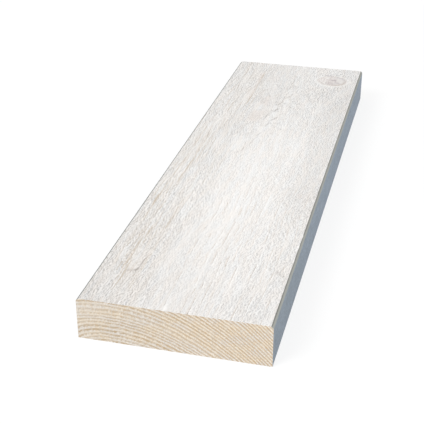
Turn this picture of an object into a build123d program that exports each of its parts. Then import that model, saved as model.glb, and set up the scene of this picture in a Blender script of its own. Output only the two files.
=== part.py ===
"""Softwood plank, planed to a stock section and cut to a short length, lying flat with its face up.

Millimetres. X runs across the width, Y along the grain and Z up through the thickness.
The origin is on the underside, at the middle of the width and the length.
"""

import os

from build123d import *

# Stock section and cut length
plank_width = 145.0
plank_thickness = 34.0
plank_length = 535.0

# Flat eased along the two long arrises of the face, the same width on the face as on the edge
arris_leg = 2.0


def planed_section():
    """The section across the grain: square corners below, and the two corners of the face eased."""
    blank = Plane.XZ * Rectangle(plank_width, plank_thickness, align=(Align.CENTER, Align.MIN))
    face_corners = blank.vertices().group_by(Axis.Z)[-1]
    return chamfer(face_corners, arris_leg)


def make_plank():
    """The section run along the grain, cut square at both ends."""
    return extrude(planed_section(), plank_length / 2, both=True)


os.makedirs("parts", exist_ok=True)
export_step(make_plank(), "parts/plank.step")
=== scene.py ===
"""Looks of the plank: a sawn and glazed face, painted edges, eased arrises and bare ends, cut from one log.

Working lengths are millimetres in the plank's own frame: X across the width, Y along the grain and
Z up, with the origin under the middle of the plank. The mesh itself is written in metres.
"""

import math

import bpy
import numpy as np
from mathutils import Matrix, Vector


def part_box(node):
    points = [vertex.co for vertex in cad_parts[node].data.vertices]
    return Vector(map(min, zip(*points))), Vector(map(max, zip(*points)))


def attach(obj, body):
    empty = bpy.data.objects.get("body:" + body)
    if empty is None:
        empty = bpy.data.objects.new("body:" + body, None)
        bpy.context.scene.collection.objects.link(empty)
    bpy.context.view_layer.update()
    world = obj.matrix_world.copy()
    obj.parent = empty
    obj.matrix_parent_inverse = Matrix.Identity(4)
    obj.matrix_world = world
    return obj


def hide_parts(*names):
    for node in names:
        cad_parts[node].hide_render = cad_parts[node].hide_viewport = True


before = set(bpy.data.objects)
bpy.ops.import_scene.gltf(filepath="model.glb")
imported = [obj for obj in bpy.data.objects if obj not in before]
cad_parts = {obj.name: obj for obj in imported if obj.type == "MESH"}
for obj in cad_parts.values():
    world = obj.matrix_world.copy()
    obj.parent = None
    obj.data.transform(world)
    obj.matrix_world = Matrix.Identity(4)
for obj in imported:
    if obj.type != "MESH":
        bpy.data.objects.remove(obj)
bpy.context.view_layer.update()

MM = 0.001

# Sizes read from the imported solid
lowest, highest = (np.array(corner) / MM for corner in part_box("plank"))
width, length, thickness = highest - lowest
half_width = width / 2
half_length = length / 2
corner_heights = sorted({round(v.co.z / MM, 3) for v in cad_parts["plank"].data.vertices})
arris_leg = corner_heights[-1] - corner_heights[-2]

# Cells of the mesh: fine across the grain, longer along it
face_columns = 232
back_columns = 29
grain_rows = 300
edge_rows = 10
arris_rows = 3

# Points that lie closer together than this are one
weld_step = 0.001

# Face groups, which are also the material slots
FACE, ARRIS, EDGE, END, BACK = range(5)

# The log that the plank was sawn from: each ring is a trough turned over, crowned along the crown line
ring_pitch = 2.98
ring_curl = 0.0041
crown_near_x = -51.0
crown_far_x = -21.0
crown_run = 276.0
rings_lost_along = 0.00474
crown_ring_y = -135.0

# How much more the rings curl left of the crown where they lie deepest
left_curl_share = 2.6

# Where the rings lie wider or closer, each as its place in the rise, its reach and the way moved outwards
ring_swells = (
    (-27.0, 3.2, -0.60),
    (-18.5, 3.0, 0.65),
    (-9.5, 4.2, -1.20),
    (27.5, 5.5, -0.50),
    (41.0, 4.0, 0.70),
)

# The branch that left the knot, which leans out from the pith and up the tree
knot_x = 43.5
knot_y = 225.5
knot_radius_x = 16.5
knot_radius_y = 15.5
knot_lean_x_share = 0.43
knot_lean_y_share = -0.35
knot_root_depth = 140.0
knot_push_share = 0.8
fibre_push_share = 0.4
knot_reach = 1.7
knot_stretch = 2.2

# The branch's own heartwood, which stands off centre in it
heart_x = 47.6
heart_radius_x = 11.0
heart_radius_y = 13.6

# How far out the knot and its heartwood are measured, where 1 is the rim
measure_limit = 6.0

# Depths of the relief on the sawn face and the cut ends
terrace_depth = 0.45
tongue_depth = 0.20
flake_depth = 0.16
strand_depth = 0.05
stroke_depth = 0.10
chip_depth = 0.25
ripple_depth = 0.30
crack_depth = 0.25
mark_depth = 0.15
heart_rim_depth = 0.06
end_depth = 0.10

# Lean of the torn fibres: right of the crown they run a little to the left as they go up the tree
fibre_lean_share = 0.05
lean_from_y = -40.0
lean_rise_x = (-45.0, 0.0)

# How much woollier the face is with each millimetre to the right
wool_gain = 0.010

# Unevenness of each kind, as rows of amount, size of the lumps across, along and through, and seed
uneven_rows = {
    "rings": ((0.20, (70, 260, 60), 11), (0.12, (9, 40, 9), 12), (0.06, (2.4, 8, 2.4), 13)),
    "fibres": ((3.0, (45, 80, 45), 21), (0.8, (7, 20, 9), 28)),
    "wool": ((1.0, (38, 110, 38), 22),),
    "strands": ((1.0, (1.5, 40, 9), 23), (0.6, (2.8, 70, 9), 24)),
    "chips": ((1.0, (1.9, 5, 9), 25), (0.5, (1.3, 3.8, 9), 26)),
    "strokes": ((1.0, (1.25, 7, 9), 27),),
    "ripples": ((1.0, (4.5, 5, 9), 29), (0.5, (2.2, 3.8, 9), 30)),
    "bands": ((1.4, (60, 130, 60), 41), (0.4, (9, 24, 9), 42)),
    "streak gaps": ((1.0, (2, 26, 9), 43),),
    "calm patches": ((1.0, (6, 60, 9), 44),),
    "tear gaps": ((1.0, (11, 26, 20), 45),),
    "cracks": ((1.0, (7, 11, 9), 51), (0.6, (2.5, 5, 9), 52)),
    "crack gaps": ((1.0, (4, 6, 9), 57),),
    "step gaps": ((1.0, (6, 22, 9), 53),),
    "tongues": ((1.8, (8, 13, 9), 54), (0.8, (3.5, 6, 9), 55)),
    "flakes": ((0.15, (3, 6, 9), 56),),
    "glaze": ((0.07, (34, 120, 40), 61), (0.03, (9, 40, 20), 62)),
}

# Marks of the saw on the ends, as the size of the lumps across, through and along, and the seed
end_saw_size = (3.0, 1.2, 1.0)
end_saw_seed = 31

# Long bare streaks: place across and along as shares of the half size, length share, width and strength
streak_shares = (
    (-0.91, -0.30, 0.75, 0.7, 0.40),
    (-0.85, 0.00, 1.00, 0.8, 0.45),
    (-0.86, -0.39, 0.05, 1.3, 0.75),
    (-0.79, -0.55, 0.45, 0.7, 0.40),
    (-0.745, -0.35, 0.65, 1.3, 0.50),
    (-0.705, -0.75, 0.25, 1.3, 0.55),
    (-0.70, 0.25, 0.45, 0.7, 0.40),
    (-0.63, -0.10, 0.80, 0.7, 0.40),
    (-0.58, -0.70, 0.25, 0.7, 0.35),
    (-0.54, -0.62, 0.38, 1.2, 0.45),
    (-0.50, 0.70, 0.28, 0.9, 0.55),
    (-0.44, 0.60, 0.35, 0.8, 0.35),
    (-0.02, -0.45, 0.55, 0.7, 0.32),
    (0.11, -0.72, 0.28, 0.7, 0.35),
    (0.165, -0.45, 0.50, 0.6, 0.32),
    (0.27, -0.55, 0.45, 0.6, 0.20),
    (0.51, -0.45, 0.50, 0.6, 0.15),
    (0.63, -0.10, 0.60, 0.6, 0.15),
)

# Soft warm patches where the glaze is thin over the tongues, in the same terms
tint_shares = (
    (-0.27, 0.39, 0.07, 7.5, 0.36),
    (-0.23, 0.56, 0.06, 5.5, 0.30),
    (-0.52, 0.72, 0.20, 2.5, 0.35),
)

# Long calm bands, where the saw left the wood smooth under the glaze, in the same terms
calm_shares = (
    (0.08, -0.45, 0.55, 2.6, 0.90),
    (-0.64, -0.50, 0.45, 1.6, 0.70),
    (0.20, -0.30, 0.40, 1.4, 0.60),
    (-0.30, 0.10, 0.10, 7.0, 0.80),
    (-0.28, 0.47, 0.07, 7.0, 0.80),
    (-0.24, 0.68, 0.12, 6.0, 0.80),
)

# Cracks in the face, each as its breadth, its strength and the points that it runs through
face_cracks = (
    (0.40, 0.50, ((-40.6, -196), (-41.2, -205), (-41.8, -214))),
    (0.50, 0.70, ((-41.6, -209), (-42.1, -218))),
    (1.1, 0.64, ((-42.1, -218), (-44.7, -220.3), (-48.6, -220.4))),
    (0.5, 0.16, ((-47, 148), (-39, 185), (-30, 223))),
    (0.7, 0.30, ((62.5, -199), (69.5, -203))),
    (0.7, 0.30, ((-24.4, 11), (-18.7, 8), (-14.4, 14))),
    (0.5, 0.22, ((-14.4, 14), (-13.8, 25), (-14.4, 36))),
    (0.5, 0.28, ((-10, 32), (-8, 50), (-5.6, 60))),
    (0.8, 0.30, ((-15.5, 67), (-12, 70), (-10, 65))),
    (0.5, 0.24, ((-4.4, 80), (-2.5, 94))),
    (0.8, 0.38, ((-2.5, 94), (2.5, 102.5), (3.8, 106))),
    (0.5, 0.22, ((-9.4, 95), (-8.8, 112))),
    (0.8, 0.40, ((-6.9, 123), (-3.1, 120.5), (-1.3, 127.5))),
    (0.6, 0.32, ((-6.9, 137.5), (-1.9, 140), (0, 150), (0, 165))),
    (0.8, 0.30, ((0.6, 146), (5, 144))),
    (0.7, 0.34, ((1.9, 165), (5, 164.5), (6.9, 175))),
    (0.5, 0.28, ((0, 188), (0.6, 202), (1.9, 215), (0.6, 232))),
    (0.9, 0.38, ((1.9, 201), (6, 199))),
    (0.8, 0.30, ((33.5, 213.5), (38, 215), (42, 214))),
    (0.6, 0.20, ((-20, 200), (-18.8, 172), (-16, 162), (-11, 165), (-8.8, 173))),
    (0.6, 0.18, ((-20, 200), (-16, 202), (-8.8, 190), (-1.3, 189))),
)

# Dark marks in the knot, in the terms of the cracks
knot_marks = (
    (1.5, 0.80, ((42.2, 228), (46, 228.8))),
    (0.9, 0.50, ((46.4, 231), (46.8, 223))),
    (1.6, 0.55, ((48.3, 220.8), (51, 219.8))),
    (3.2, 0.28, ((41, 219), (44.5, 217.5))),
    (1.6, 0.48, ((34, 242.5), (41.5, 242))),
)

# Softness of the tongues' rims
tongue_rim = 0.5

# Loose tongues of grain in the face, each as its tip across and along, half width, opening run and drift
tongues = (
    (-21, 9, 16, 60, 0.03),
    (-20, 91, 10.5, 20, 0),
    (-17, 139, 8, 18, 0.02),
    (-15, 160, 6, 14, 0.05),
)

# Flakes that stand up beside the tongues, each as its middle across and along and its half sizes
flakes = (
    (-8, 71, 4, 8),
    (0, 111, 4, 8.5),
    (-4.4, 131, 3.4, 8),
    (4, 154, 3.4, 8),
    (6, 173, 3.6, 8),
    (6.5, 208, 4.2, 8),
    (39.5, 211.5, 3.2, 4),
)

# Soft zones of the face, in the same terms: torn before the knot, loose, thickly glazed and kept from wear
torn_zone = (27, 178, 18, 26)
loose_zone = (0, 125, 40, 110)
thick_zone = (0, 40, math.inf, 190)
kept_zone = (5, 0, 25, math.inf)

# Zones that the saw tore, each with its strength
torn_zones = (
    (1.0, torn_zone),
    (0.6, (-24, 65, 16, 24)),
    (0.9, (64, -200, 7, 9)),
    (0.75, (-6, 150, 38, 80)),
)

# Smooth changes over the face: an amount, and where it rises to full across and along, if it does
step_terms = ((0.15,), (0.40, (-20, 8)))
crown_tear_terms = ((0.25, (-36, -47)), (0.35, (-36, -47), (-50, -120)))
right_tear_terms = ((0.40, (38, 55), (40, -40)),)
wear_terms = (
    (0.90, (-5, -40)),
    (-0.40, (-5, -40), (20, 150)),
    (-0.18, (-5, -40), (-150, -215)),
    (0.55, None, (0, 200)),
    (0.22, (10, 50)),
)
kept_terms = ((0.15,), (0.25, None, (-60, -140)))
cover_terms = (
    (0.82,),
    (0.06, (-20, 40)),
    (-0.04, (15, -72)),
    (-0.13, (-45, -70)),
    (-0.38, None, (-60, -200)),
    (-0.20, None, (-170, -250)),
    (0.24, None, (130, 240)),
    (0.18, (5, 40), (-60, -130)),
    (-0.60, (22, 66), (-190, -60)),
    (0.60, (22, 66), (200, 250)),
    (-0.30, (-10, 30), (130, 240)),
    (0.35, (20, -30), (40, 140)),
)

# How much more glaze lies in the middle of the thickly glazed zone
thick_cover = 0.30

# Limits of the wear and painted shade between the fibres
least_wear = -0.4
most_wear = 1.3

# Where the finishes change, each as an axis and the places where the change begins and is full
rises = {
    "strands": ("X", 0, -45),
    "stain to the left": ("X", 5, -45),
    "stain up the tree": ("Y", -60, 150),
    "steps to the right": ("X", -32, 2),
    "steps at the margin": ("X", 38, 52),
    "steps to the front": ("Y", -20, -130),
    "veins to the left": ("X", -8, -40),
    "knot to the right": ("X", knot_x - 4, knot_x + 10),
    "knot up the tree": ("Y", knot_y - 6, knot_y + 12),
    "edge lighter up the tree": ("Y", -250, 20),
    "left arris": ("X", 0, -1),
    "end to the right": ("X", -half_width, half_width),
}

# Lumps and cells in the finishes: breadth and run on the face, or across, along and through the plank
lump_sizes = {
    "ragged side": (1.8, 5),
    "grit": (0.75, 2.2),
    "rim gap": (4, 12),
    "hue": (6, 26),
    "step gap": (3, 18),
    "vein drift": (12, 120),
    "stroke": (0.5, 1.8),
    "strand": (0.6, 12),
    "torn cell": (2.2, 15),
    "stain": (4, 120, 4),
    "vein gap": (3, 30, 3),
    "knot wobble": (4, 5, 4),
    "edge grain": (1.2, 26, 0.8),
    "edge mottle": (9, 14, 9),
    "edge fleck": (1.4, 2.6, 1.4),
    "arris grain": (1, 30, 1),
    "end speck": (0.85, 0.85, 0.85),
    "end patch": (16, 26, 7),
    "end saw": (0.95, 6, 2.2),
    "back grain": (0.5, 16, 0.5),
    "back wander": (3, 30, 3),
}

# Colours of the finishes, as linear red, green and blue
colours = {
    "thin cool glaze": (0.835, 0.826, 0.815),
    "thick cool glaze": (0.98, 0.9735, 0.962),
    "thin warm glaze": (0.85, 0.818, 0.787),
    "thick warm glaze": (0.997, 0.9675, 0.936),
    "shade in torn rims": (0.45, 0.425, 0.395),
    "tan stain": (0.80, 0.725, 0.635),
    "warm tint": (0.83, 0.73, 0.665),
    "wood below a step": (0.76, 0.665, 0.575),
    "painted highlight on a step": (1.0, 0.985, 0.96),
    "painted shade at a step": (0.33, 0.285, 0.245),
    "thin streak": (0.60, 0.52, 0.425),
    "bare streak": (0.48, 0.345, 0.22),
    "crack": (0.17, 0.125, 0.095),
    "knot collar": (0.96, 0.945, 0.92),
    "dark lower branch": (0.755, 0.69, 0.655),
    "pale lower branch": (0.86, 0.815, 0.785),
    "dark upper branch": (0.82, 0.76, 0.73),
    "pale upper branch": (0.93, 0.895, 0.87),
    "knot outline": (0.54, 0.42, 0.34),
    "lower heart rim": (0.53, 0.46, 0.41),
    "upper heart rim": (0.58, 0.56, 0.575),
    "left heart": (0.75, 0.69, 0.67),
    "right heart": (0.81, 0.79, 0.77),
    "knot mark": (0.42, 0.36, 0.38),
    "near edge paint and shade": (0.298, 0.361, 0.431),
    "far edge paint and shade": (0.338, 0.413, 0.505),
    "edge grain": (0.275, 0.335, 0.405),
    "dark arris paint": (0.425, 0.44, 0.415),
    "pale arris paint": (0.485, 0.495, 0.465),
    "left arris": (0.14, 0.145, 0.145),
    "dark line on arris": (0.27, 0.27, 0.245),
    "warm early wood": (0.945, 0.838, 0.692),
    "cool early wood": (0.905, 0.85, 0.78),
    "left late wood": (0.55, 0.40, 0.235),
    "right late wood": (0.63, 0.445, 0.25),
    "ray": (0.68, 0.50, 0.30),
    "saw score": (0.96, 0.91, 0.83),
    "pore": (0.56, 0.52, 0.47),
    "back early wood": (0.78, 0.66, 0.50),
    "back late wood": (0.62, 0.45, 0.28),
    "back fibre": (0.60, 0.46, 0.31),
    "back knot": (0.36, 0.20, 0.10),
    "floor": (0.22, 0.22, 0.22),
    "white": (1.0, 1.0, 1.0),
}

# The studio: half the floor's side, its gap under the plank, its own light and the light from all round
floor_reach = 6000.0
floor_gap = 0.2
floor_light = 0.81
ambient_light = 0.62

# Lamps, each as its name, its side and place in metres and its power in watts
lamps = (
    ("key", 2.2, (-2.0, -2.48, 2.48), 102.0),
    ("fill", 1.6, (1.9, -1.7, 0.8), 16.0),
)

# The camera: turn, height and field of view in degrees, distance, aim and near limit in millimetres
camera_azimuth = 14.355
camera_elevation = 27.906
camera_view = 25.0
camera_distance = 803.3
camera_aim_x = -10.26
camera_aim_y = -115.06
camera_clip = 10.0


def lattice_noise(points, seed):
    """Smooth gradient noise of about -1 to 1, with one lump to each unit of the points' coordinates."""
    period = 256
    gain = 1.6
    draw = np.random.default_rng(seed)
    shuffle = draw.permutation(period)
    slopes = draw.normal(size=(period, 3))
    slopes /= np.linalg.norm(slopes, axis=1, keepdims=True)
    cell = np.floor(points).astype(int)
    inside = points - cell
    ease = inside**3 * (inside * (inside * 6 - 15) + 10)
    total = np.zeros(len(points))
    for corner in np.ndindex(2, 2, 2):
        drawn = np.zeros(len(points), int)
        weight = np.ones(len(points))
        for axis, step in enumerate(corner):
            drawn = shuffle[(cell[:, axis] + step + drawn) % period]
            weight = weight * (ease[:, axis] if step else 1 - ease[:, axis])
        total += weight * np.einsum("ij,ij->i", inside - corner, slopes[drawn])
    return total * gain


def lumps(points, kind):
    """Noise of one kind of unevenness, summed over its sizes of lumps."""
    rows = uneven_rows[kind]
    return sum(amount * lattice_noise(points / np.array(size), seed) for amount, size, seed in rows)


def hollow(noise):
    """1 where the noise is lowest and 0 where it is highest."""
    return 0.5 - 0.5 * np.clip(noise, -1, 1)


def ease_between(low, high, value):
    """0 at low, 1 at high, held beyond them, and a smooth change between them."""
    share = np.clip((value - low) / (high - low), 0, 1)
    return share * share * (3 - 2 * share)


def graded(points, terms):
    """The sum of smooth terms over the face, each an amount that rises across it, along it or both ways."""
    total = np.zeros(len(points))
    for amount, *spans in terms:
        share = np.ones(len(points))
        for axis, span in enumerate(spans):
            if span:
                share = share * ease_between(*span, points[:, axis])
        total += amount * share
    return total


def patch(points, middle_x, middle_y, half_x, half_y):
    """1 in the middle of a soft patch of the face and 0 well outside it."""
    return np.exp(-(((points[:, 0] - middle_x) / half_x) ** 2) - ((points[:, 1] - middle_y) / half_y) ** 2)


def knot_offset(points):
    """The way from the branch's middle line to each point, and the branch's size there."""
    above = points[:, 2] - thickness
    across = points[:, 0] - knot_x - knot_lean_x_share * above
    along = points[:, 1] - knot_y - knot_lean_y_share * above
    return across, along, 1 + above / knot_root_depth


def knot_measure(points):
    """Distance from the branch's middle line, with 1 at the rim of the knot."""
    across, along, size = knot_offset(points)
    return np.hypot(across / knot_radius_x, along / knot_radius_y) / size


def heart_measure(points):
    """Distance from the middle of the branch's heartwood, with 1 at its rim."""
    across, along, size = knot_offset(points)
    return np.hypot((across - heart_x + knot_x) / heart_radius_x, along / heart_radius_y) / size


def flow(points, push_share=knot_push_share):
    """The points drawn in towards the knot, so that what is sampled there runs round it."""
    across, along, size = knot_offset(points)
    near = np.hypot(across / knot_radius_x, along / (knot_radius_y * knot_stretch)) / size
    pull = push_share * np.exp(-((near / knot_reach) ** 2))
    drawn = points.copy()
    drawn[:, 0] -= across * pull
    drawn[:, 1] -= along * pull
    return drawn


def ring_count(points):
    """Growth rings counted outwards, from the one that is crowned in the face near the front end."""
    drawn = flow(points)
    crown_share = ease_between(0, crown_run, drawn[:, 1] + half_length)
    crown_x = crown_near_x + (crown_far_x - crown_near_x) * crown_share
    left_of_crown = (drawn[:, 0] < crown_x) * (1 - drawn[:, 2] / thickness) ** 2
    curl = ring_curl * (1 + left_curl_share * left_of_crown)
    rise = drawn[:, 2] - thickness + curl * (drawn[:, 0] - crown_x) ** 2
    grown = rise.copy()
    for place, reach, moved in ring_swells:
        grown -= moved * np.exp(-(((rise - place) / reach) ** 2))
    return grown / ring_pitch - rings_lost_along * (drawn[:, 1] - crown_ring_y) + lumps(drawn, "rings")


def ray_place(points):
    """Place along the rings in millimetres, as the rays that run out from the pith divide them."""
    ring_radius = 1 / (2 * ring_curl)
    return np.arctan2(points[:, 0] - crown_near_x, ring_radius + points[:, 2]) * ring_radius


def bands_along(points, shares):
    """How far the face lies in long bands, each of one row of shares, from 0 to 1."""
    drawn = flow(points)
    shift = lumps(drawn, "bands")
    inside = np.zeros(len(points))
    for across_share, along_share, reach_share, breadth, strength in shares:
        across = (drawn[:, 0] + shift - across_share * half_width) / breadth
        along = (drawn[:, 1] - along_share * half_length) / (reach_share * half_length)
        inside = np.maximum(inside, strength * np.exp(-across**2) * ease_between(1.0, 0.6, np.abs(along)))
    return inside


def streaks(points):
    """How far the long streaks lie bare, from 0 to 1."""
    broken = ease_between(-0.5, 0.5, lumps(flow(points), "streak gaps"))
    return bands_along(points, streak_shares) * (0.40 + 0.60 * broken)


def calm_share(points):
    """How smooth the sawn face is, from 0 to 1: in calm bands, in patches between them and on flakes."""
    patches = ease_between(0.15, 0.55, lumps(flow(points), "calm patches"))
    smooth = np.maximum(0.8 * patches, 0.9 * flake_share(points))
    return np.maximum(bands_along(points, calm_shares), smooth)


def run_distance(places, run):
    """Distance of each place on the face from a run of straight lengths between points."""
    nearest = np.full(len(places), np.inf)
    for start, end in zip(np.array(run[:-1]), np.array(run[1:])):
        way = end - start
        share = np.clip((places - start) @ way / (way @ way), 0, 1)
        nearest = np.minimum(nearest, np.hypot(*(places - start - share[:, None] * way).T))
    return nearest


def run_shade(places, runs):
    """The strongest shade, from 0 to 1, of the runs at each place on the face."""
    shade = np.zeros(len(places))
    for breadth, strength, run in runs:
        shade = np.maximum(shade, strength * np.exp(-((run_distance(places, run) / breadth) ** 2)))
    return shade


def cracks(points):
    """How far the face is cracked, from 0 to 1."""
    jagged = points[:, :2].copy()
    jagged[:, 0] += lumps(points, "cracks")
    broken = ease_between(-0.4, 0.3, lumps(points, "crack gaps"))
    return run_shade(jagged, face_cracks) * (0.55 + 0.70 * broken)


def woolly_share(points):
    """How woolly the sawn face is, from 0 to 1: more so on the right."""
    return ease_between(-0.45, 0.55, lumps(flow(points), "wool") + wool_gain * points[:, 0])


def rough_share(points):
    """How far the saw tore the face, from 0 to 1: where rings lie flat in it or grain dips to the knot."""
    rough = np.maximum(graded(points, crown_tear_terms), graded(points, right_tear_terms))
    for strength, zone in torn_zones:
        rough = np.maximum(rough, strength * patch(points, *zone))
    return rough * (0.45 + 0.55 * ease_between(-0.5, 0.3, lumps(points, "tear gaps")))


def step_share(points):
    """How far the rings stand up as steps in the face: most to the right of the crown."""
    broken = ease_between(-0.1, 0.5, lumps(points, "step gaps"))
    return graded(points, step_terms) * (0.15 + 0.85 * broken)


def tongue_share(points):
    """How far each place lies in the loose tongues of grain, as a count of those that it lies in."""
    jagged = points[:, 0] + lumps(points, "tongues")
    count = np.zeros(len(points))
    for tip_x, tip_y, half, run, drift in tongues:
        up = points[:, 1] - tip_y
        reach = half * np.sqrt(1 - np.exp(-np.maximum(up, 0) / run)) + np.minimum(up, 0)
        count += ease_between(-tongue_rim, tongue_rim, reach - np.abs(jagged - tip_x - drift * up))
    return count


def flake_share(points):
    """How far the flakes stand up, from 0 to 1."""
    raised = np.zeros(len(points))
    for flake in flakes:
        raised = np.maximum(raised, patch(points, *flake))
    return ease_between(0.2, 0.6, raised + lumps(points, "flakes"))


def fibre_place(points):
    """The points moved so that what is sampled there leans and wanders as the fibres do."""
    drawn = flow(points, fibre_push_share)
    leaning = ease_between(*lean_rise_x, drawn[:, 0])
    lean = fibre_lean_share * np.maximum(drawn[:, 1] - lean_from_y, 0) * leaning
    drawn[:, 0] += lean + lumps(drawn, "fibres")
    return drawn


def step_count(points):
    """Growth rings counted as if each ran on along the fibres from where it meets the front end."""
    drawn = fibre_place(points)
    drawn[:, 1] = -half_length
    drawn[:, 2] = thickness
    return ring_count(drawn)


def face_relief(points, rings):
    """Depth of the sawn face below its highest level, in millimetres."""
    slanted = fibre_place(points)
    woolly = woolly_share(points)
    depth = terrace_depth * step_share(points) * (1 - rings % 1) ** 3
    flaked = tongue_depth * tongue_share(points) + flake_depth * (1 - flake_share(points))
    depth += patch(points, *loose_zone) * flaked
    depth += strand_depth * hollow(lumps(slanted, "strands"))
    depth += stroke_depth * (0.4 + 0.6 * woolly) * hollow(lumps(slanted, "strokes"))
    chipped = np.maximum(0.2 * woolly, rough_share(points))
    depth += chip_depth * chipped * ease_between(0.0, 0.7, lumps(slanted, "chips"))
    depth += ripple_depth * patch(points, *torn_zone) * ease_between(0.0, 0.5, lumps(slanted, "ripples"))
    outside_knot = 1 - 0.6 * ease_between(1.15, 0.85, knot_measure(points))
    heart_rim = np.exp(-(((heart_measure(points) - 0.98) / 0.10) ** 2))
    marks = run_shade(points[:, :2], knot_marks)
    cut = heart_rim_depth * heart_rim + np.maximum(crack_depth * cracks(points), mark_depth * marks)
    return depth * outside_knot + cut


def glaze_cover(points):
    """How thickly the glaze lies, from 0 to 1: thickest down the middle and thin at the left margin."""
    cover = graded(points, cover_terms) + thick_cover * patch(points, *thick_zone)
    return np.clip(cover + lumps(points, "glaze"), 0, 1)


def wear_and_shade_share(points):
    """How far the glaze is worn and painted shade lies between the fibres, within its limits: most on the
    left and up the tree.
    """
    kept = graded(points, kept_terms) * patch(points, *kept_zone)
    return np.clip(graded(points, wear_terms) - kept, least_wear, most_wear)


def grid_quads(first, rows, columns):
    """Corner numbers of the cells of a grid of rows by columns points that starts at first."""
    low = first + np.arange((rows - 1) * columns).reshape(rows - 1, columns)[:, :-1].ravel()
    return np.stack([low, low + 1, low + columns + 1, low + columns], 1)


class Skin:
    """Patches of points and faces that meet along shared edges, welded at the end."""

    def __init__(self):
        self.points = []
        self.faces = []
        self.groups = []
        self.count = 0

    def add_grid(self, points, group, flip=False):
        """Adds a grid of points, in rows, as four-sided faces of one group."""
        rows, columns = points.shape[:2]
        quads = grid_quads(self.count, rows, columns)
        self.add_faces(points.reshape(-1, 3), (quads[:, ::-1] if flip else quads).tolist(), group)

    def add_faces(self, points, faces, group):
        """Adds points with faces that are numbered from the points of the whole skin."""
        self.points.append(points)
        self.faces.extend(faces)
        self.groups.extend([group] * len(faces))
        self.count += len(points)

    def welded(self):
        """All points once, and the faces on them."""
        points = np.concatenate(self.points)
        keys = np.round(points / weld_step).astype(np.int64)
        _, first, number = np.unique(keys, axis=0, return_index=True, return_inverse=True)
        number = number.ravel()
        return points[first], [[int(number[i]) for i in face] for face in self.faces]


def width_at(height):
    """Half the plank's width at a height, which the eased arrises narrow near the face."""
    return half_width - np.maximum(0, height - (thickness - arris_leg))


def build_skin():
    """The plank's flat faces as grids, before any relief."""
    skin = Skin()
    across_shares = np.linspace(-1, 1, face_columns + 1)
    along = np.linspace(-half_length, half_length, grain_rows + 1)
    edge_levels = np.linspace(0, thickness - arris_leg, edge_rows + 1)
    arris_levels = np.linspace(thickness - arris_leg, thickness, arris_rows + 1)

    def lengthwise(across, heights):
        """Rows along the grain of points at these places in the section."""
        rows = np.empty((len(along), len(across), 3))
        rows[..., 0] = across
        rows[..., 1] = along[:, None]
        rows[..., 2] = heights
        return rows

    face_x = across_shares * width_at(thickness)
    skin.add_grid(lengthwise(face_x, np.full_like(face_x, thickness)), FACE)
    for levels, group in ((edge_levels, EDGE), (arris_levels, ARRIS)):
        skin.add_grid(lengthwise(width_at(levels), levels), group, flip=True)
        skin.add_grid(lengthwise(-width_at(levels), levels), group)

    end_levels = np.concatenate([edge_levels, arris_levels[1:]])
    for end in (-1, 1):
        rows = np.empty((len(end_levels), len(across_shares), 3))
        rows[..., 0] = across_shares * width_at(end_levels)[:, None]
        rows[..., 1] = end * half_length
        rows[..., 2] = end_levels[:, None]
        skin.add_grid(rows, END, flip=end > 0)

    back_x = np.linspace(-half_width, half_width, back_columns + 1)
    back = lengthwise(back_x, np.zeros_like(back_x))
    skin.add_grid(back[1:-1], BACK, flip=True)
    add_back_ends(skin, across_shares * half_width, back)
    return skin


def add_back_ends(skin, dense_x, back):
    """The last row of cells at each end of the back, which take up the finer columns of the ends."""
    step = face_columns // back_columns
    for row, inner, end in ((back[0], back[1], -1), (back[-1], back[-2], 1)):
        dense = np.stack([dense_x, np.full_like(dense_x, row[0, 1]), np.zeros_like(dense_x)], 1)
        points = np.concatenate([dense, inner])
        faces = []
        for column in range(back_columns):
            fine = [skin.count + column * step + i for i in range(step + 1)]
            coarse = [skin.count + len(dense) + column + i for i in (1, 0)]
            loop = fine + coarse
            faces.append(loop[::-1] if end < 0 else loop)
        skin.add_faces(points, faces, BACK)


def cut_relief(points, rings):
    """The points moved in by the relief of the sawn face and the ends."""
    moved = points.copy()
    on_face = points[:, 2] > thickness - weld_step
    depth = face_relief(points, rings) * on_face
    moved[:, 2] -= depth
    on_rim = on_face & (np.abs(points[:, 0]) > width_at(thickness) - weld_step)
    moved[on_rim, 0] += np.sign(points[on_rim, 0]) * depth[on_rim]
    on_end = np.abs(points[:, 1]) > half_length - weld_step
    across_through_along = points[:, [0, 2, 1]]
    saw = lattice_noise(across_through_along / np.array(end_saw_size), end_saw_seed)
    end_cut = end_depth * (0.5 * (1 - (rings % 1) ** 2) + 0.5 * hollow(saw))
    moved[:, 1] -= np.sign(points[:, 1]) * end_cut * on_end
    return moved


def make_plank():
    """The plank as one mesh, with what its materials need of the log, the saw and the glaze."""
    skin = build_skin()
    points, faces = skin.welded()
    rings = ring_count(points)
    fibres = fibre_place(points)
    moved = cut_relief(points, rings)
    mesh = bpy.data.meshes.new("plank_sawn")
    mesh.from_pydata(moved * MM, [], faces)
    mesh.polygons.foreach_set("material_index", skin.groups)
    mesh.polygons.foreach_set("use_smooth", [True] * len(faces))
    fields = {
        "ring": rings,
        "step": step_count(points),
        "ray": ray_place(points),
        "knot": np.minimum(knot_measure(points), measure_limit),
        "heart": np.minimum(heart_measure(points), measure_limit),
        "wear": wear_and_shade_share(points),
        "bare": streaks(points),
        "tint": bands_along(points, tint_shares),
        "crack": cracks(points),
        "mark": run_shade(points[:, :2], knot_marks),
        "cover": glaze_cover(points),
        "rough": rough_share(points),
        "calm": calm_share(points),
        "fibre_x": fibres[:, 0],
        "fibre_y": fibres[:, 1],
    }
    for name, values in fields.items():
        mesh.attributes.new(name, "FLOAT", "POINT").data.foreach_set("value", values.astype(np.float32))
    mark_arrises(mesh, len(points), faces, skin.groups)
    plank = bpy.data.objects.new("plank_sawn", mesh)
    bpy.context.scene.collection.objects.link(plank)
    return plank


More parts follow.
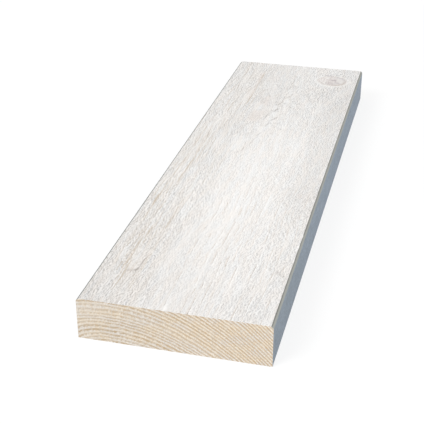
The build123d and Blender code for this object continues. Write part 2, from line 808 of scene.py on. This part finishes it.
def mark_arrises(mesh, count, faces, groups):
    """Marks as sharp each edge where two groups of faces meet."""
    touches = np.zeros(count, int)
    corners = np.concatenate(faces)
    bits = np.repeat(1 << np.array(groups), [len(face) for face in faces])
    np.bitwise_or.at(touches, corners, bits)
    ends = np.empty(len(mesh.edges) * 2, int)
    mesh.edges.foreach_get("vertices", ends)
    shared = touches[ends[0::2]] & touches[ends[1::2]]
    sharp = (shared & (shared - 1)) != 0
    mesh.edges.foreach_set("use_edge_sharp", sharp.tolist())


class Look:
    """A material's node tree, with one short method for each kind of node used here."""

    def __init__(self, name):
        self.material = bpy.data.materials.new(name)
        self.material.use_nodes = True
        self.tree = self.material.node_tree
        self.surface = self.tree.nodes["Principled BSDF"]

    def feed(self, node, sockets):
        """Links sockets, by name or number, to other nodes, or sets them to named colours or numbers."""
        for name, value in sockets.items():
            socket = node.inputs[name]
            if isinstance(value, bpy.types.NodeSocket):
                self.tree.links.new(value, socket)
            elif socket.type == "RGBA":
                socket.default_value = (*colours[value], 1.0)
            else:
                socket.default_value = value

    def set(self, **values):
        """Feeds sockets of the surface shader, named with _ for a space."""
        self.feed(self.surface, {name.replace("_", " "): value for name, value in values.items()})

    def node(self, kind, sockets, **settings):
        """A new node with these settings and its sockets fed."""
        node = self.tree.nodes.new("ShaderNode" + kind)
        for name, setting in settings.items():
            setattr(node, name, setting)
        self.feed(node, sockets)
        return node

    def field(self, name):
        """One of the mesh's own attributes."""
        return self.node("Attribute", {}, attribute_name=name).outputs["Fac"]

    def place(self):
        """Place on the plank, in metres."""
        return self.node("TexCoord", {}).outputs["Object"]

    def level(self, axis):
        """Place along one axis of the plank, in millimetres."""
        node = self.node("SeparateXYZ", {"Vector": self.place()})
        return self.maths("DIVIDE", node.outputs[axis], MM)

    def maths(self, operation, *values):
        """One sum on numbers."""
        return self.node("Math", dict(enumerate(values)), operation=operation).outputs[0]

    def times(self, first, *others):
        """The product of two or more numbers."""
        for value in others:
            first = self.maths("MULTIPLY", first, value)
        return first

    def plus(self, first, second):
        """The sum of two numbers."""
        return self.maths("ADD", first, second)

    def remap(self, value, low, high, to_low=0.0, to_high=1.0, smooth=True):
        """Maps low to high onto the new range, held at its ends."""
        sockets = {"Value": value, "From Min": low, "From Max": high, "To Min": to_low, "To Max": to_high}
        kind = "SMOOTHSTEP" if smooth else "LINEAR"
        return self.node("MapRange", sockets, interpolation_type=kind).outputs["Result"]

    def rise(self, kind, to_low=0.0, to_high=1.0):
        """A number that changes across or along the plank."""
        axis, low, high = rises[kind]
        return self.remap(self.level(axis), low, high, to_low, to_high)

    def noise(self, kind, detail=2.0, roughness=0.5, turn=(0.0, 0.0, 0.0)):
        """Noise in the plank with lumps of one kind, turned."""
        scale = [step * MM for step in lump_sizes[kind]]
        sockets = {"Vector": self.place(), "Scale": scale, "Rotation": turn}
        mapping = self.node("Mapping", sockets, vector_type="TEXTURE")
        return self.noise_at(mapping.outputs["Vector"], detail, roughness)

    def noise_at(self, vector, detail=2.0, roughness=0.5):
        """Noise with one lump to each unit of a vector."""
        sockets = {"Vector": vector, "Scale": 1.0, "Detail": detail, "Roughness": roughness}
        return self.node("TexNoise", sockets).outputs["Fac"]

    def fibre_noise(self, kind, detail=1.0):
        """Noise on the face with lumps of one kind, which follow the fibres."""
        breadth, run = lump_sizes[kind]
        across = self.maths("DIVIDE", self.field("fibre_x"), breadth)
        along = self.maths("DIVIDE", self.field("fibre_y"), run)
        return self.noise_at(self.vector(across, along, run), detail)

    def cells(self, across, along, kind, ragged, feature="F1"):
        """Long cells of one kind, with ragged sides: a shade each, or the way to their rims."""
        breadth, run = lump_sizes[kind]
        across = self.plus(self.maths("DIVIDE", across, breadth), ragged)
        along = self.maths("DIVIDE", along, run)
        sockets = {"Vector": self.vector(across, along, 0.0), "Scale": 1.0}
        node = self.node("TexVoronoi", sockets, voronoi_dimensions="2D", feature=feature)
        return node.outputs["Color" if feature == "F1" else "Distance"]

    def vector(self, *values):
        """A vector made of numbers."""
        return self.node("CombineXYZ", dict(enumerate(values))).outputs["Vector"]

    def chance(self, value):
        """A number from 0 to 1 that is drawn anew for each whole value."""
        sockets = {"W": self.maths("FLOOR", value)}
        return self.node("TexWhiteNoise", sockets, noise_dimensions="1D").outputs["Value"]

    def blend(self, share, first, second):
        """The first colour where share is 0 and the second where it is 1."""
        return self.node("Mix", {0: share, 6: first, 7: second}, data_type="RGBA").outputs[2]

    def between(self, share, first, second):
        """The first number where share is 0 and the second where it is 1."""
        return self.node("Mix", {0: share, 2: first, 3: second}).outputs[0]

    def dim(self, colour, share):
        """The colour made darker or lighter, with this share of its light."""
        sockets = {"Vector": colour, "Scale": share}
        return self.node("VectorMath", sockets, operation="SCALE").outputs["Vector"]

    def bump(self, height, reach):
        """Fine relief under the light, with a full height of reach in millimetres."""
        node = self.node("Bump", {"Strength": 1.0, "Distance": reach * MM, "Height": height})
        self.set(Normal=node.outputs["Normal"])

    def finished(self, colour, uneven, roughness, gloss):
        """The material in this colour and gloss, its roughness between two values by the unevenness."""
        rough = self.remap(uneven, 0.3, 0.7, *roughness)
        self.set(Base_Color=colour, Roughness=rough, Specular_IOR_Level=gloss)
        return self.material


def glazed_face():
    """White glaze on the sawn face: thick on the ridges, thin in the grain, worn to the wood in streaks,
    with painted shade and highlights in its nap.
    """
    look = Look("white_glaze_on_sawn_wood")
    nap_height = 0.20
    ragged = look.fibre_noise("ragged side", detail=2.0)
    grit = look.fibre_noise("grit")
    stroke, fibre = torn_fibres(look, ragged)
    rims = torn_rims(look, ragged, grit)
    # Painted shade: the rims of the torn cells are darkened as the crevices between them would be shaded.
    painted_rim_shade = look.times(rims, look.remap(look.fibre_noise("rim gap"), 0.46, 0.64, 0.36, 0.95))
    glaze = look.blend(painted_rim_shade, coat_of_glaze(look, fibre), "shade in torn rims")
    glaze = stains(look, glaze)
    glaze = ring_steps(look, glaze, ragged, grit)
    glaze = fibre_veins(look, glaze, ragged, grit)
    glaze = bare_streaks(look, glaze, fibre)
    glaze = knot_colour(look, glaze, stroke)
    glaze = look.blend(look.field("crack"), glaze, "crack")
    look.bump(look.maths("SUBTRACT", fibre, look.times(rims, 0.6)), nap_height)
    return look.finished(glaze, fibre, (0.80, 0.62), 0.25)


def torn_fibres(look, ragged):
    """Shades of short torn strokes, and the nap they make with painted shadows, strands and calm bands."""
    shadow_reach = 1.05
    fibre_x, fibre_y = look.field("fibre_x"), look.field("fibre_y")
    stroke = look.cells(fibre_x, fibre_y, "stroke", ragged)
    # Painted shadow: each stroke darkens the place just right of it, as if the lamp on the left shaded it.
    shadow_caster = look.cells(look.maths("SUBTRACT", fibre_x, shadow_reach), fibre_y, "stroke", ragged)
    strand = look.cells(look.level("X"), look.level("Y"), "strand", ragged)
    torn = look.maths("MULTIPLY_ADD", shadow_caster, -0.5, look.plus(stroke, 0.25))
    fibre = look.between(look.rise("strands", 0.08, 0.20), torn, strand)
    calm = look.times(look.field("calm"), 0.6)
    return stroke, look.between(calm, fibre, 0.56)


def torn_rims(look, ragged, grit):
    """How far the rims of torn cells of wood show, from 0 to 1, as relief and as painted shade."""
    fibre_x, fibre_y = look.field("fibre_x"), look.field("fibre_y")
    from_rim = look.cells(fibre_x, fibre_y, "torn cell", ragged, "DISTANCE_TO_EDGE")
    rims = look.remap(from_rim, 0.02, 0.16, 1.0, 0.0)
    return look.times(rims, look.remap(grit, 0.40, 0.55, 0.3, 1.0), look.field("rough"))


def coat_of_glaze(look, fibre):
    """The glaze, cool and warm by turns: paler where it lies thick and darker between the fibres, partly
    worn thin there and partly painted shade of the nap.
    """
    cover = look.field("cover")
    cool = look.blend(cover, "thin cool glaze", "thick cool glaze")
    warm = look.blend(cover, "thin warm glaze", "thick warm glaze")
    hue = look.remap(look.fibre_noise("hue", detail=2.0), 0.35, 0.65)
    raised = look.remap(fibre, 0.15, 0.66, smooth=False)
    # Between the fibres the glaze is darkened, partly by wear and partly as painted shade of the raised
    # nap.
    darkened = look.remap(look.field("wear"), least_wear, most_wear, 0.81, 0.43, smooth=False)
    return look.dim(look.blend(hue, cool, warm), look.between(raised, darkened, 1.0))


def stains(look, glaze):
    """Tan stain drawn out along the grain, mostly on the left, and warm patches over the tongues."""
    to_left = look.rise("stain to the left", 0.10, 0.70)
    up_tree = look.rise("stain up the tree", 0.27, 0.18)
    stain = look.remap(look.noise("stain"), 0.40, 0.60)
    glaze = look.blend(look.times(to_left, up_tree, stain), glaze, "tan stain")
    return look.blend(look.field("tint"), glaze, "warm tint")


def ring_steps(look, glaze, ragged, grit):
    """Lines where the rings stand up as steps, right of the crown: strongest near the front end."""
    count = look.plus(look.field("step"), look.times(ragged, 0.22))
    to_right = look.rise("steps to the right")
    kept_far = look.rise("steps at the margin", 0.20, 0.55)
    kept = look.between(look.rise("steps to the front"), kept_far, 1.0)
    each = look.remap(look.chance(look.plus(count, 0.5)), 0.2, 0.7, 0.1, 1.0)
    gaps = look.remap(look.fibre_noise("step gap"), 0.40, 0.60, 0.05, 0.85)
    return step_lines(look, glaze, count, look.times(to_right, kept, each, gaps), grit, 1.0)


def fibre_veins(look, glaze, ragged, grit):
    """Lines along the fibres on the left of the face, drawn as steps with painted shade and weaker painted
    highlights.
    """
    vein_pitch = 6.0
    drift = look.times(look.fibre_noise("vein drift"), 2.0)
    count = look.plus(look.maths("DIVIDE", look.field("fibre_x"), vein_pitch), drift)
    count = look.plus(count, look.times(ragged, 0.15))
    to_left = look.rise("veins to the left")
    each = look.remap(look.chance(look.plus(count, 0.5)), 0.0, 0.9, 0.2, 1.0)
    gaps = look.remap(look.noise("vein gap"), 0.42, 0.56, 0.12, 0.75)
    return step_lines(look, glaze, count, look.times(to_left, each, gaps), grit, 0.6)


def step_lines(look, glaze, count, strength, grit, highlight_share):
    """A thin line at each whole count, where the wood steps up: tan below, painted shade at the step and a
    painted highlight on its edge.
    """
    phase = look.maths("FRACT", count)
    below = look.times(look.remap(phase, 0.62, 0.96, 0.0, 0.48), strength)
    glaze = look.blend(below, glaze, "wood below a step")
    # Painted highlight along the edge of the step, where the glaze lies thick.
    edge = look.times(look.remap(phase, 0.38, 0.12), look.remap(phase, 0.02, 0.06), strength)
    edge = look.times(edge, look.remap(grit, 0.35, 0.55, 0.0, highlight_share))
    glaze = look.blend(edge, glaze, "painted highlight on a step")
    # Painted shade: a dark line where the step drops.
    line = look.maths("MAXIMUM", look.remap(phase, 0.95, 0.99), look.remap(phase, 0.05, 0.02))
    line = look.times(line, strength, look.remap(grit, 0.38, 0.56, 0.15, 0.85))
    return look.blend(line, glaze, "painted shade at a step")


def bare_streaks(look, glaze, fibre):
    """The long streaks: glaze worn thin, and worn to the wood in their middles."""
    bare = look.plus(look.field("bare"), look.remap(fibre, 0.2, 0.8, 0.13, -0.13, smooth=False))
    glaze = look.blend(look.remap(bare, 0.18, 0.42, 0.0, 0.65), glaze, "thin streak")
    return look.blend(look.remap(bare, 0.50, 0.95, 0.0, 0.55), glaze, "bare streak")


def knot_colour(look, glaze, grain):
    """The knot under the glaze: a pale crescent of branch round an off-centre heart with a dark rim."""
    wobble = look.times(look.noise("knot wobble"), 0.28)
    branch = look.plus(look.field("knot"), wobble)
    heart = look.plus(look.field("heart"), wobble)
    to_right = look.rise("knot to the right")
    up_tree = look.rise("knot up the tree")
    collar = look.times(look.remap(branch, 1.42, 1.28), look.remap(branch, 1.06, 1.18))
    collar = look.times(collar, look.remap(up_tree, 0.0, 1.0, 0.55, 0.30))
    glaze = look.blend(collar, glaze, "knot collar")
    streaked = look.remap(grain, 0.2, 0.8)
    lower = look.blend(streaked, "dark lower branch", "pale lower branch")
    upper = look.blend(streaked, "dark upper branch", "pale upper branch")
    crescent = look.blend(up_tree, lower, upper)
    glaze = look.blend(look.remap(branch, 1.18, 1.02, 0.0, 0.60), glaze, crescent)
    outline = look.times(look.remap(branch, 1.22, 1.12), look.remap(branch, 0.94, 1.09), 0.16)
    glaze = look.blend(outline, glaze, "knot outline")
    rim = look.blend(up_tree, "lower heart rim", "upper heart rim")
    core = look.blend(to_right, "left heart", "right heart")
    shade = look.times(look.remap(heart, 0.74, 1.06), look.remap(to_right, 0.0, 1.0, 0.35, 0.75))
    core = look.blend(shade, core, rim)
    inside = look.times(look.remap(heart, 1.22, 1.10), look.remap(to_right, 0.0, 1.0, 0.45, 0.75))
    glaze = look.blend(inside, glaze, core)
    return look.blend(look.field("mark"), glaze, "knot mark")


def painted_edge():
    """Blue-grey paint on the planed edges, with the grain just showing through; the colour also holds
    painted shade, darker towards the front end.
    """
    look = Look("blue_grey_edge_paint_and_shade")
    grain_height = 0.05
    grain = look.noise("edge grain", detail=3.0)
    mottle = look.noise("edge mottle")
    fleck = look.noise("edge fleck", detail=1.0)
    # The blue-grey is partly paint and partly painted shade of the side, darker near the front end.
    paint = look.blend(look.rise("edge lighter up the tree"), "near edge paint and shade", "far edge paint and shade")
    paint = look.dim(paint, look.remap(mottle, 0.3, 0.7, 0.95, 1.05))
    paint = look.dim(paint, look.remap(fleck, 0.25, 0.75, 0.78, 1.22, smooth=False))
    paint = look.blend(look.remap(grain, 0.45, 0.75, 0.0, 0.25), paint, "edge grain")
    look.bump(grain, grain_height)
    return look.finished(paint, grain, (0.50, 0.62), 0.3)


def eased_arris():
    """Thin paint on the eased arrises, darker on the left, and darker along the line of the face."""
    look = Look("thin_paint_on_arris")
    grain_height = 0.05
    dark_line_begins = 0.75
    dark_line_full = 0.25
    dark_line_wander = 0.6
    grain = look.noise("arris grain", detail=3.0)
    height = look.plus(look.level("Z"), look.times(grain, dark_line_wander))
    # A darker line along the top of each arris, where it meets the face.
    darkened = look.remap(height, thickness - dark_line_begins, thickness - dark_line_full)
    on_left = look.rise("left arris", 0.0, 0.90)
    paint = look.blend(grain, "dark arris paint", "pale arris paint")
    paint = look.blend(on_left, paint, "left arris")
    paint = look.blend(darkened, paint, "dark line on arris")
    look.bump(grain, grain_height)
    return look.finished(paint, grain, (0.55, 0.70), 0.25)


def end_grain():
    """Bare cut end: pale early wood and a darker late band in each ring, crossed by rays and saw marks."""
    look = Look("bare_end_grain")
    cut_height = 0.12
    ray_pitch = 0.65
    saw_turn = math.radians(35.0)
    speck = look.noise("end speck", roughness=0.6)
    patchy = look.remap(look.noise("end patch"), 0.35, 0.65)
    saw = look.noise("end saw", detail=1.0, turn=(0.0, saw_turn, 0.0))
    both = look.plus(speck, saw)
    to_right = look.rise("end to the right")
    jitter = look.times(look.maths("SUBTRACT", both, 1.0), look.remap(to_right, 0.1, 0.7, 0.50, 0.32))
    ring = look.plus(look.field("ring"), jitter)
    phase = look.maths("FRACT", ring)
    each = look.between(look.chance(ring), look.remap(to_right, 0.0, 0.12, 0.46, 0.70), 0.98)
    unbroken = look.remap(to_right, 0.2, 0.7, 0.72, 0.88)
    gaps = look.remap(saw, 0.38, 0.58, unbroken, 1.0)
    late = look.times(look.remap(phase, 0.22, 0.66), look.remap(phase, 1.0, 0.84), each, gaps)
    across_rays = look.maths("DIVIDE", look.field("ray"), ray_pitch)
    ray = look.noise_at(look.vector(across_rays, look.times(ring, 0.7), 0.0), detail=1.0)
    early = look.blend(patchy, "warm early wood", "cool early wood")
    early = look.dim(early, look.remap(to_right, 0.2, 0.8, 0.97, 1.03))
    wood = look.blend(late, early, look.blend(to_right, "left late wood", "right late wood"))
    wood = look.blend(look.remap(ray, 0.50, 0.66, 0.0, 0.32), wood, "ray")
    scored = look.remap(to_right, 0.2, 0.7, 0.34, 0.20)
    wood = look.blend(look.remap(saw, 0.48, 0.36, 0.0, scored), wood, "saw score")
    wood = look.blend(look.remap(speck, 0.48, 0.66, 0.0, 0.50), wood, "pore")
    look.bump(both, cut_height)
    return look.finished(wood, speck, (0.72, 0.88), 0.2)


def planed_back():
    """Bare planed back, with the rings drawn out along the grain and the other side of the knot."""
    look = Look("bare_planed_back")
    grain_height = 0.05
    fine = look.noise("back grain", detail=3.0)
    wander = look.times(look.noise("back wander"), 0.30)
    phase = look.maths("FRACT", look.plus(look.field("ring"), wander))
    late = look.times(look.remap(phase, 0.35, 0.85), look.remap(phase, 1.0, 0.94))
    wood = look.blend(late, "back early wood", "back late wood")
    wood = look.blend(look.remap(fine, 0.45, 0.75, 0.0, 0.30), wood, "back fibre")
    knot = look.plus(look.field("knot"), look.times(fine, 0.12))
    wood = look.blend(look.remap(knot, 1.10, 0.95), wood, "back knot")
    look.bump(fine, grain_height)
    return look.finished(wood, fine, (0.50, 0.65), 0.3)


def background_rays(tree):
    """1 for the rays that should meet a white background: those seen, mirrored or let through."""
    path = tree.nodes.new("ShaderNodeLightPath")
    seen = path.outputs["Is Camera Ray"]
    for name in ("Is Glossy Ray", "Is Transmission Ray"):
        either = tree.nodes.new("ShaderNodeMath")
        either.operation = "MAXIMUM"
        tree.links.new(seen, either.inputs[0])
        tree.links.new(path.outputs[name], either.inputs[1])
        seen = either.outputs[0]
    return seen


def make_floor():
    """A plain pale floor that shows white, apart from the plank's soft shadow."""
    reach, low = floor_reach * MM, -floor_gap * MM
    mesh = bpy.data.meshes.new("floor")
    corners = [(-reach, -reach, low), (reach, -reach, low), (reach, reach, low), (-reach, reach, low)]
    mesh.from_pydata(corners, [], [(0, 1, 2, 3)])
    floor = bpy.data.objects.new("floor", mesh)
    bpy.context.scene.collection.objects.link(floor)
    look = Look("pale_floor")
    look.set(Base_Color="floor", Roughness=0.9, Specular_IOR_Level=0.0, Emission_Color="white")
    look.set(Emission_Strength=look.times(background_rays(look.tree), floor_light))
    mesh.materials.append(look.material)


def make_world():
    """Even light from all round, and a white background where the camera sees it."""
    world = bpy.data.worlds.new("studio")
    world.use_nodes = True
    tree = world.node_tree
    background = tree.nodes["Background"]
    background.inputs["Color"].default_value = (*colours["white"], 1.0)
    level = tree.nodes.new("ShaderNodeMapRange")
    level.inputs["To Min"].default_value = ambient_light
    level.inputs["To Max"].default_value = 1.0
    tree.links.new(background_rays(tree), level.inputs["Value"])
    tree.links.new(level.outputs["Result"], background.inputs["Strength"])
    bpy.context.scene.world = world


def aimed(obj, place, target):
    """Puts a lamp or camera at a place, looking at the target, with its top up."""
    obj.location = place
    obj.rotation_euler = (Vector(target) - Vector(place)).to_track_quat("-Z", "Y").to_euler()
    bpy.context.scene.collection.objects.link(obj)
    return obj


def make_lights():
    """A large soft lamp on the left and in front, and a weak one that opens the right side."""
    for name, side, place, power in lamps:
        lamp = bpy.data.lights.new(name, "AREA")
        lamp.shape = "SQUARE"
        lamp.size = side
        lamp.energy = power
        aimed(bpy.data.objects.new(name, lamp), place, (0.0, 0.0, 0.0))


def make_camera():
    """A camera at the photograph's viewing angle."""
    azimuth, elevation = math.radians(camera_azimuth), math.radians(camera_elevation)
    level = math.cos(elevation)
    back = np.array([math.sin(azimuth) * level, -math.cos(azimuth) * level, math.sin(elevation)])
    aim = np.array([camera_aim_x, camera_aim_y, thickness]) * MM
    place = aim + back * (camera_distance * MM)
    lens = bpy.data.cameras.new("camera")
    lens.sensor_fit = "HORIZONTAL"
    lens.angle = math.radians(camera_view)
    lens.clip_start = camera_clip * MM
    bpy.context.scene.camera = aimed(bpy.data.objects.new("camera", lens), tuple(place), tuple(aim))


plank = make_plank()
for material in (glazed_face(), eased_arris(), painted_edge(), end_grain(), planed_back()):
    plank.data.materials.append(material)
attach(plank, "root")
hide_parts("plank")

make_floor()
make_world()
make_lights()
make_camera()
bpy.context.scene.view_settings.view_transform = "Standard"
